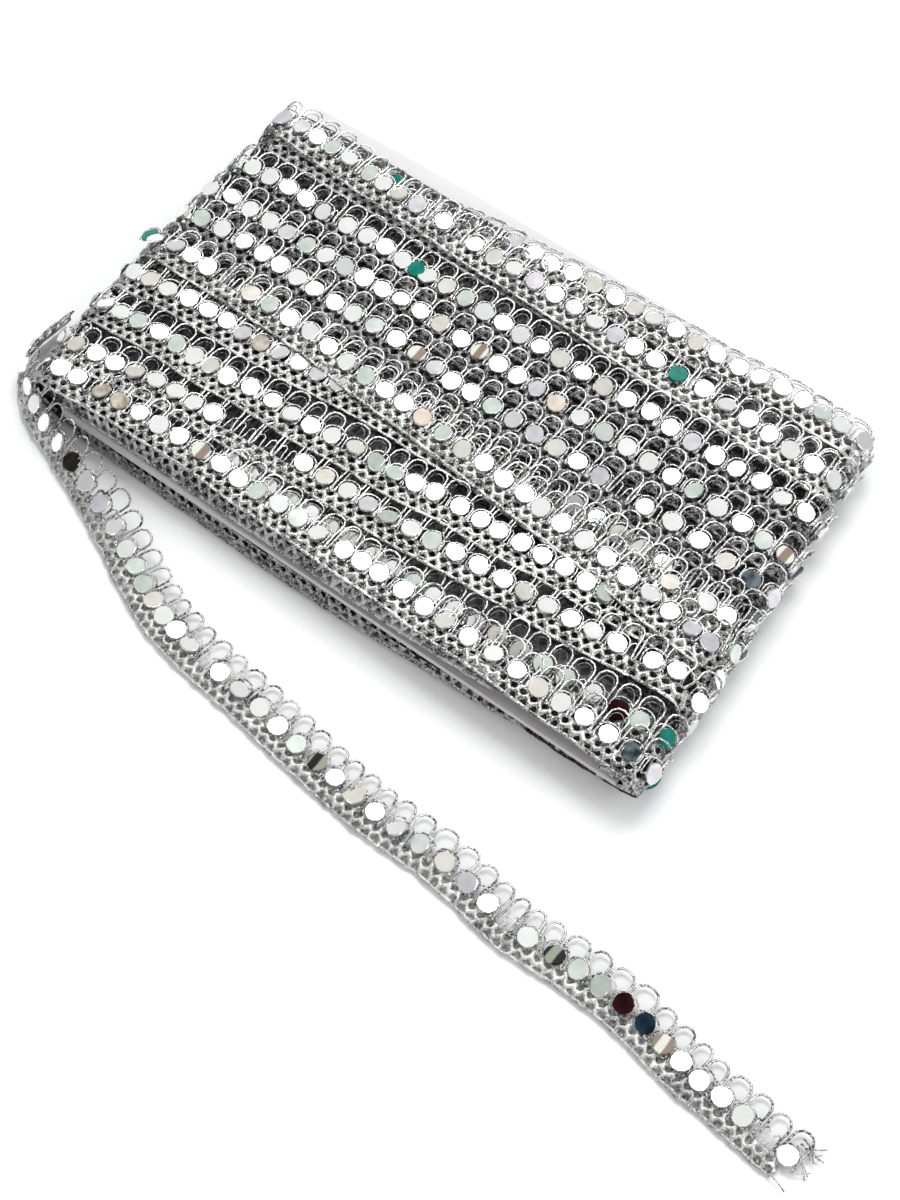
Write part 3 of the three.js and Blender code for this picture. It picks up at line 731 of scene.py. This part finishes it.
def mirror_material(name, low, high, streak=False, coloured=False):
    """Small silvered mirror: faint smudges, and for some a band of another tone or a coloured face."""
    material, nodes, links, shader = new_material(name)
    coords = nodes.new("ShaderNodeTexCoord").outputs["Object"]
    if streak:
        wave = nodes.new("ShaderNodeTexWave")
        wave.inputs["Scale"].default_value = STREAK_SCALE
        wave.inputs["Distortion"].default_value = STREAK_WAVER
        links.new(coords, wave.inputs["Vector"])
        value = wave.outputs["Fac"]
    else:
        value = noise(nodes, links, FACE_SCALE, 2, coords).outputs["Fac"]
    tone = ramp(nodes, links, value, [(0.35, low), (0.65, high)])
    links.new(tone.outputs["Color"], shader.inputs["Base Color"])
    smudge = noise(nodes, links, SMUDGE_SCALE, 1, coords)
    rough = ramp(nodes, links, smudge.outputs["Fac"], [(0.35, (0.10,) * 3), (0.75, (0.14,) * 3)])
    links.new(rough.outputs["Color"], shader.inputs["Roughness"])
    shader.inputs["Metallic"].default_value = 0.0 if coloured else SILVERED
    shader.inputs["Specular IOR Level"].default_value = COLOUR_GLOSS if coloured else PLAIN_GLOSS
    return material


def card_material(name):
    material, nodes, links, shader = new_material(name)
    coords = nodes.new("ShaderNodeTexCoord").outputs["Object"]
    fibre = noise(nodes, links, FIBRE_SCALE, 4, coords)
    # Painted shade: darker toward the card's front edge, mixed with the fibre
    apart = nodes.new("ShaderNodeSeparateXYZ")
    links.new(coords, apart.inputs[0])
    speckle = nodes.new("ShaderNodeMath")
    speckle.operation = "MULTIPLY_ADD"
    speckle.inputs[1].default_value = CARD_SPECKLE
    speckle.inputs[2].default_value = -CARD_SHADE_FADES_FROM * CARD_SHADE_FADE
    links.new(fibre.outputs["Fac"], speckle.inputs[0])
    place = nodes.new("ShaderNodeMath")
    place.operation = "MULTIPLY_ADD"
    place.inputs[1].default_value = CARD_SHADE_FADE
    links.new(apart.outputs["Y"], place.inputs[0])
    links.new(speckle.outputs[0], place.inputs[2])
    tone = ramp(nodes, links, place.outputs[0], list(enumerate(CARD_SHADE_AND_OWN_TONES)))
    links.new(tone.outputs["Color"], shader.inputs["Base Color"])
    shader.inputs["Roughness"].default_value = 0.75
    bump(nodes, links, fibre.outputs["Fac"], 0.2, 0.0001, shader)
    return material


def core_material(name):
    """The deep layers, near black as painted shade, with small lighter loops."""
    material, nodes, links, shader = new_material(name)
    coords = nodes.new("ShaderNodeTexCoord").outputs["Object"]
    cells = nodes.new("ShaderNodeTexVoronoi")
    cells.feature = "DISTANCE_TO_EDGE"
    cells.inputs["Scale"].default_value = DEEP_LOOP_SCALE
    links.new(coords, cells.inputs["Vector"])
    tone = ramp(nodes, links, cells.outputs["Distance"],
                [(0.05, (0.09, 0.09, 0.09)), (0.22, (0.006, 0.006, 0.006))])
    links.new(tone.outputs["Color"], shader.inputs["Base Color"])
    shader.inputs["Roughness"].default_value = 0.5
    bump(nodes, links, cells.outputs["Distance"], 0.6, 0.0004, shader)
    return material


def floor_material(name):
    material, nodes, links, shader = new_material(name)
    coords = nodes.new("ShaderNodeTexCoord").outputs["Object"]
    grain = noise(nodes, links, GRAIN_SCALE, 3, coords)
    tone = ramp(nodes, links, grain.outputs["Fac"], [(0.3, (0.94, 0.94, 0.945)), (0.7, (0.97, 0.97, 0.975))])
    links.new(tone.outputs["Color"], shader.inputs["Base Color"])
    shader.inputs["Roughness"].default_value = 0.9
    return material


# The inner arch thread, the three darker band knits and the thread of the lower rows are darker copies of
# the thread and the knit: painted shade
threads = thread_material("silver_thread", (0.24, 0.24, 0.24), (0.97, 0.97, 0.96), 0.26, 0.85)
inner_arch_shade_threads = thread_material("inner_arch_shade_thread", (0.02, 0.02, 0.02), (0.42, 0.42, 0.42), 0.30, 0.85)
loose_threads = thread_material("loose_thread", (0.04, 0.04, 0.04), (0.60, 0.60, 0.59), 0.28, 0.92)
knit = thread_material("knitted_band", (0.08, 0.08, 0.08), (0.56, 0.56, 0.55), 0.34, 0.85)
shaded_knit = thread_material("shaded_band", (0.05, 0.05, 0.05), (0.46, 0.46, 0.46), 0.36, 0.7)
under_winding_shade_knit = thread_material("under_winding_shade_band", (0.02, 0.02, 0.02), (0.34, 0.34, 0.34), 0.30, 0.8)
loose_knit = thread_material("loose_band", (0.26, 0.26, 0.26), (0.62, 0.62, 0.61), 0.42, 0.6)
under_loops_shade_knit = thread_material("under_loops_shade_band", (0.012, 0.012, 0.012), (0.28, 0.28, 0.28), 0.32, 0.85)
deep_threads = thread_material("shaded_thread", (0.006, 0.006, 0.006), (0.09, 0.09, 0.09), 0.35, 0.9)
painted_shade_core = core_material("deep_layers_shade")
card_white = card_material("white_card")
# Darkest and lightest tone of each kind of mirror
TINT_RANGE = {
    "silver": ((0.93, 0.94, 0.93), (0.98, 0.98, 0.98)),
    "cream": ((0.78, 0.75, 0.69), (0.88, 0.86, 0.80)),
    "greenish": ((0.64, 0.71, 0.67), (0.78, 0.83, 0.79)),
    "grey": ((0.68, 0.66, 0.70), (0.82, 0.80, 0.84)),
    "brown": ((0.26, 0.21, 0.15), (0.58, 0.54, 0.46)),
    "beige": ((0.64, 0.54, 0.46), (0.76, 0.67, 0.59)),
    "streaked": ((0.28, 0.22, 0.17), (0.74, 0.74, 0.67)),
    "slate": ((0.02, 0.03, 0.04), (0.16, 0.20, 0.22)),
    "teal": ((0.010, 0.17, 0.13), (0.018, 0.24, 0.19)),
    "black": ((0.004, 0.003, 0.003), (0.02, 0.012, 0.012)),
    "maroon": ((0.010, 0.001, 0.002), (0.030, 0.005, 0.006)),
    "navy": ((0.003, 0.009, 0.018), (0.018, 0.038, 0.062)),
    "moss": ((0.004, 0.004, 0.003), (0.30, 0.32, 0.25)),
}
# Seen by their own colour more than by what they mirror
COLOURED = ("teal", "black", "maroon", "navy", "slate", "moss", "streaked", "brown", "beige")
mirror_materials = [
    mirror_material("mirror_" + name, *TINT_RANGE[name], name in ("streaked", "moss"), name in COLOURED)
    for name in TINTS
]


# The wound rows
def spread_runs(runs):
    return np.concatenate([np.linspace(a, b, count) for a, b, count in runs])


band, loops, ladder, rings, mirrors = Builder(), Builder(), Builder(), Builder(), Builder()
for number, row in enumerate(OUTER_ROWS):
    rng = np.random.default_rng(OUTER_SEED + number)
    depth = DEPTHS["deeper" if row.get("deeper") else "outer"]
    strip = wound_strip(row, number, row["low"], row["high"], *depth)
    bounds = cells_of(strip, WOUND_CELL, rng, CELL_WANDER)
    lay_band(band, strip, bounds, rng, True, KNIT_KINDS.index(row.get("band", "plain")))
    lay_loops(loops, ladder, strip, bounds, rng, True, 4, 1)
    if not row["runs"]:
        continue
    on_top = spread_runs(row["runs"])
    top_s = np.interp(on_top, strip.top_x, strip.top_s)
    over_left = on_top < strip.top_x[0]
    over_right = on_top > strip.top_x[-1]
    top_s[over_left] = strip.top_s[0] + (on_top[over_left] - strip.top_x[0])
    top_s[over_right] = strip.top_s[-1] + (on_top[over_right] - strip.top_x[-1])
    tints = pick_tints(rng, len(top_s))
    for name, x, tint in TINTED:
        if name == row["name"]:
            tints[np.abs(on_top - x).argmin()] = TINTS.index(tint)
    bare_to = np.interp(row.get("bare_to", -HALF_LENGTH), strip.top_x, strip.top_s)
    rest_from = max(top_s.max(), bare_to) + REST_GAP
    rest_to = min(top_s.min(), 0.0) + strip.length - REST_GAP
    rest = np.linspace(rest_from, rest_to, int((rest_to - rest_from) / REST_PITCH) + 1)
    rest = rest + rng.normal(0, REST_JITTER, len(rest))
    rest = rest[rng.random(len(rest)) > MISSING_SHARE]
    places = np.concatenate([top_s + rng.normal(0, RUN_JITTER, len(top_s)), rest])
    lay_mirrors(mirrors, rings, strip, places, np.concatenate([tints, pick_tints(rng, len(rest))]), rng)

low_threads = Builder()
for number, row in enumerate(INNER_ROWS):
    rng = np.random.default_rng(INNER_SEED + number)
    strip = wound_strip(row, INNER_STRIP_SEED + number, LOW_HEIGHT, LOW_LOOP_HEIGHT, *DEPTHS["inner"])
    bounds = cells_of(strip, WOUND_CELL, rng, LOW_CELL_WANDER)
    lay_band(low_threads, strip, bounds, rng, True)
    lay_loops(low_threads, low_threads, strip, bounds, rng, True, 3)


def lay_front_bands(build):
    for number, (kind, top, table) in enumerate(FRONT_BANDS):
        origin, _ = curve_through(table, FRONT_SPAN_STEPS)
        forward = unit(np.gradient(origin, axis=0))
        rise = np.clip((top - origin[:, 2]) / BAND_WIDTH, *FRONT_RISE)
        across = np.stack([np.zeros(len(rise)), np.sqrt(1 - rise**2), rise], axis=1)
        strip = Strip(origin, across, np.cross(forward, across), False)
        rng = np.random.default_rng(FRONT_SEED + number)
        bounds = cells_of(strip, WOUND_CELL, rng, CELL_WANDER)
        lay_band(build, strip, bounds, rng, False, KNIT_KINDS.index(kind))


def lay_stray_mirrors(build, rings):
    for number, (x, y, z, lean, tint) in enumerate(STRAY_MIRRORS):
        sine, cosine = math.sin(math.radians(lean)), math.cos(math.radians(lean))
        forward, face = np.array([cosine, 0, sine]), np.array([-sine, 0, cosine])
        across = np.array([0, 1.0, 0])
        middle = np.array([x, y, z]) - across * MIRROR_ACROSS
        origin = middle + forward * np.array([[-STRAY_REACH], [STRAY_REACH]])
        strip = Strip(origin, np.stack([across] * 2), np.stack([face] * 2), False)
        rng = np.random.default_rng(STRAY_SEED + number)
        lay_mirrors(build, rings, strip, [STRAY_REACH], [TINTS.index(tint)], rng)


def build_core():
    """The inside of the winding, just under the layers that show, near black as painted shade."""
    build = Builder()
    depths = np.linspace(CORE_FRONT, CORE_BACK, CORE_RINGS)
    angles = np.linspace(0, 2 * math.pi, CORE_SIDES, endpoint=False)
    rounded = np.sign(np.cos(angles)) * np.abs(np.cos(angles)) ** CORE_END_SHAPE
    squared = np.sign(np.sin(angles)) * np.abs(np.sin(angles)) ** CORE_TOP_SHAPE
    points = []
    for depth in depths:
        left, right = float(left_end(depth)) + CORE_INSET, float(right_end(depth)) - CORE_INSET
        x = (left + right) / 2 + (right - left) / 2 * rounded
        z = MIDDLE_HEIGHT + CORE_HALF_HEIGHT * squared
        points.append(np.stack([x, np.full_like(x, depth), z], axis=1))
    points = np.asarray(points)
    i, j = np.meshgrid(np.arange(len(depths) - 1), np.arange(len(angles)), indexing="ij")
    nxt = (j + 1) % len(angles)
    at = lambda a, b: a * len(angles) + b
    quads = np.stack([at(i, j), at(i, nxt), at(i + 1, nxt), at(i + 1, j)], axis=-1)
    build.add(points, quads.reshape(-1, 4))
    caps = np.stack([np.arange(len(angles))[::-1], (len(depths) - 1) * len(angles) + np.arange(len(angles))])
    build.blocks.append((caps, np.zeros(2, np.int32)))
    return build.mesh("wound_core", [painted_shade_core], 40)


lay_front_bands(band)
lay_stray_mirrors(mirrors, rings)
wound_band = band.mesh("wound_band", [knit, under_loops_shade_knit, shaded_knit, under_winding_shade_knit])
wound_loops = loops.mesh("wound_loops", [threads, inner_arch_shade_threads])
wound_ladder = ladder.mesh("wound_ladder", [threads])
wound_rims = rings.mesh("wound_mirror_threads", [threads])
wound_mirrors = mirrors.mesh("wound_mirrors", mirror_materials, 25)
lower_threads = low_threads.mesh("lower_rows", [deep_threads])
wound_core = build_core()
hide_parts("wound_trim")
for piece in (wound_loops, wound_ladder, wound_rims, wound_mirrors, lower_threads, wound_core):
    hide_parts("wound_trim")


# The loose end
def lay_fray(build, strip, rng):
    """Thread ends where the loose end was cut."""
    share = np.linspace(0, 1, FRAY_STEPS)
    start = strip.length - FRAY_BACK + rng.uniform(-FRAY_SCATTER, FRAY_SCATTER, (FRAY, 1))
    reach = rng.uniform(*FRAY_REACH, (FRAY, 1)) * share
    across = rng.uniform(*FRAY_ACROSS, (FRAY, 1))
    across = across + rng.normal(0, FRAY_SPREAD, (FRAY, 1)) * share**2 * FRAY_CURL
    points = strip.place(start, across, np.full((FRAY, FRAY_STEPS), FRAY_HEIGHT))
    points = points + strip.forward(start) * reach[:, :, None]
    build.tubes(points, strip.normal(np.broadcast_to(start, (FRAY, FRAY_STEPS))), *FRAY_THREAD, 4)


strip = loose_strip()
rng = np.random.default_rng(LOOSE_SEED)
bounds = cells_of(strip, LOOSE_CELL, rng, LOOSE_CELL_WANDER)
loose = Builder()
lay_band(loose, strip, bounds, rng, False, 1, True, LOOSE_UNEVEN)
lay_loops(loose, loose, strip, bounds, rng, False, 5, None)
loose_discs = Builder()
places = spread_runs(LOOSE_RUNS)
tints = pick_tints(rng, len(places))
for length, tint in LOOSE_TINTED:
    tints[np.abs(places - length).argmin()] = TINTS.index(tint)
lay_mirrors(loose_discs, loose, strip, places, tints, rng, 5)
lay_fray(loose, strip, np.random.default_rng(FRAY_SEED))
loose_end = loose.mesh("loose_end_lace", [loose_threads, loose_knit])
loose_mirrors = loose_discs.mesh("loose_mirrors", mirror_materials, 25)
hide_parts("loose_end")
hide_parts(*[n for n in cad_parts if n.startswith("mirror_")])

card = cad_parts["card"]
card.data.materials.clear()
card.data.materials.append(card_white)

# Floor, light and camera, in metres. Lights face the part: place, size and power in watts.
FLOOR_SIZE, FLOOR_DROP = 6.0, 0.00005
AREA_LIGHTS = dict(
    softbox_back=((-0.20, 0.70, 1.22), (0.85, 0.65), 10.5),
    softbox_side=((1.05, 0.45, 0.75), (0.8, 0.6), 4),
    softbox_front=((-0.1, -1.1, 0.7), (1.4, 0.6), 3.5),
)
bpy.ops.mesh.primitive_plane_add(size=FLOOR_SIZE, location=(0, 0, -FLOOR_DROP))
floor = bpy.context.object
floor.name = "floor"
floor.data.materials.append(floor_material("pale_floor"))


def area_light(name, place, size, power):
    data = bpy.data.lights.new(name, "AREA")
    data.shape = "RECTANGLE"
    data.size, data.size_y = size
    data.energy = power
    light = bpy.data.objects.new(name, data)
    bpy.context.scene.collection.objects.link(light)
    light.location = place
    light.rotation_euler = (-Vector(place)).to_track_quat("-Z", "Y").to_euler()


for name, settings in AREA_LIGHTS.items():
    area_light(name, *settings)

# Plain studio surround: bright overhead toward the back, dim near the horizon
BRIGHT_WAY = (-0.36, 0.42, 0.83)
world = bpy.data.worlds.new("studio")
world.use_nodes = True
sky_nodes, sky_links = world.node_tree.nodes, world.node_tree.links
nearness = sky_nodes.new("ShaderNodeVectorMath")
nearness.operation = "DOT_PRODUCT"
nearness.inputs[1].default_value = BRIGHT_WAY
sky_links.new(sky_nodes.new("ShaderNodeTexCoord").outputs["Generated"], nearness.inputs[0])
sky = ramp(sky_nodes, sky_links, nearness.outputs["Value"],
           [(0.34, (0.62, 0.62, 0.625)), (0.48, (0.33, 0.33, 0.335)), (0.64, (0.33, 0.33, 0.335)),
            (0.88, (0.80, 0.81, 0.80))])
sky_links.new(sky.outputs["Color"], sky_nodes["Background"].inputs["Color"])
bpy.context.scene.world = world

camera_data = bpy.data.cameras.new("camera")
camera_data.lens = LENS
camera_data.sensor_width = SENSOR
camera_data.sensor_fit = "AUTO"
camera_data.clip_start = 0.01
camera = bpy.data.objects.new("camera", camera_data)
axes = Matrix((VIEW_RIGHT, VIEW_UP, VIEW_BACK)).transposed().to_4x4()
camera.matrix_world = Matrix.Translation(Vector(EYE) * MM) @ axes
bpy.context.scene.collection.objects.link(camera)
bpy.context.scene.camera = camera
bpy.context.scene.view_settings.view_transform = "Standard"
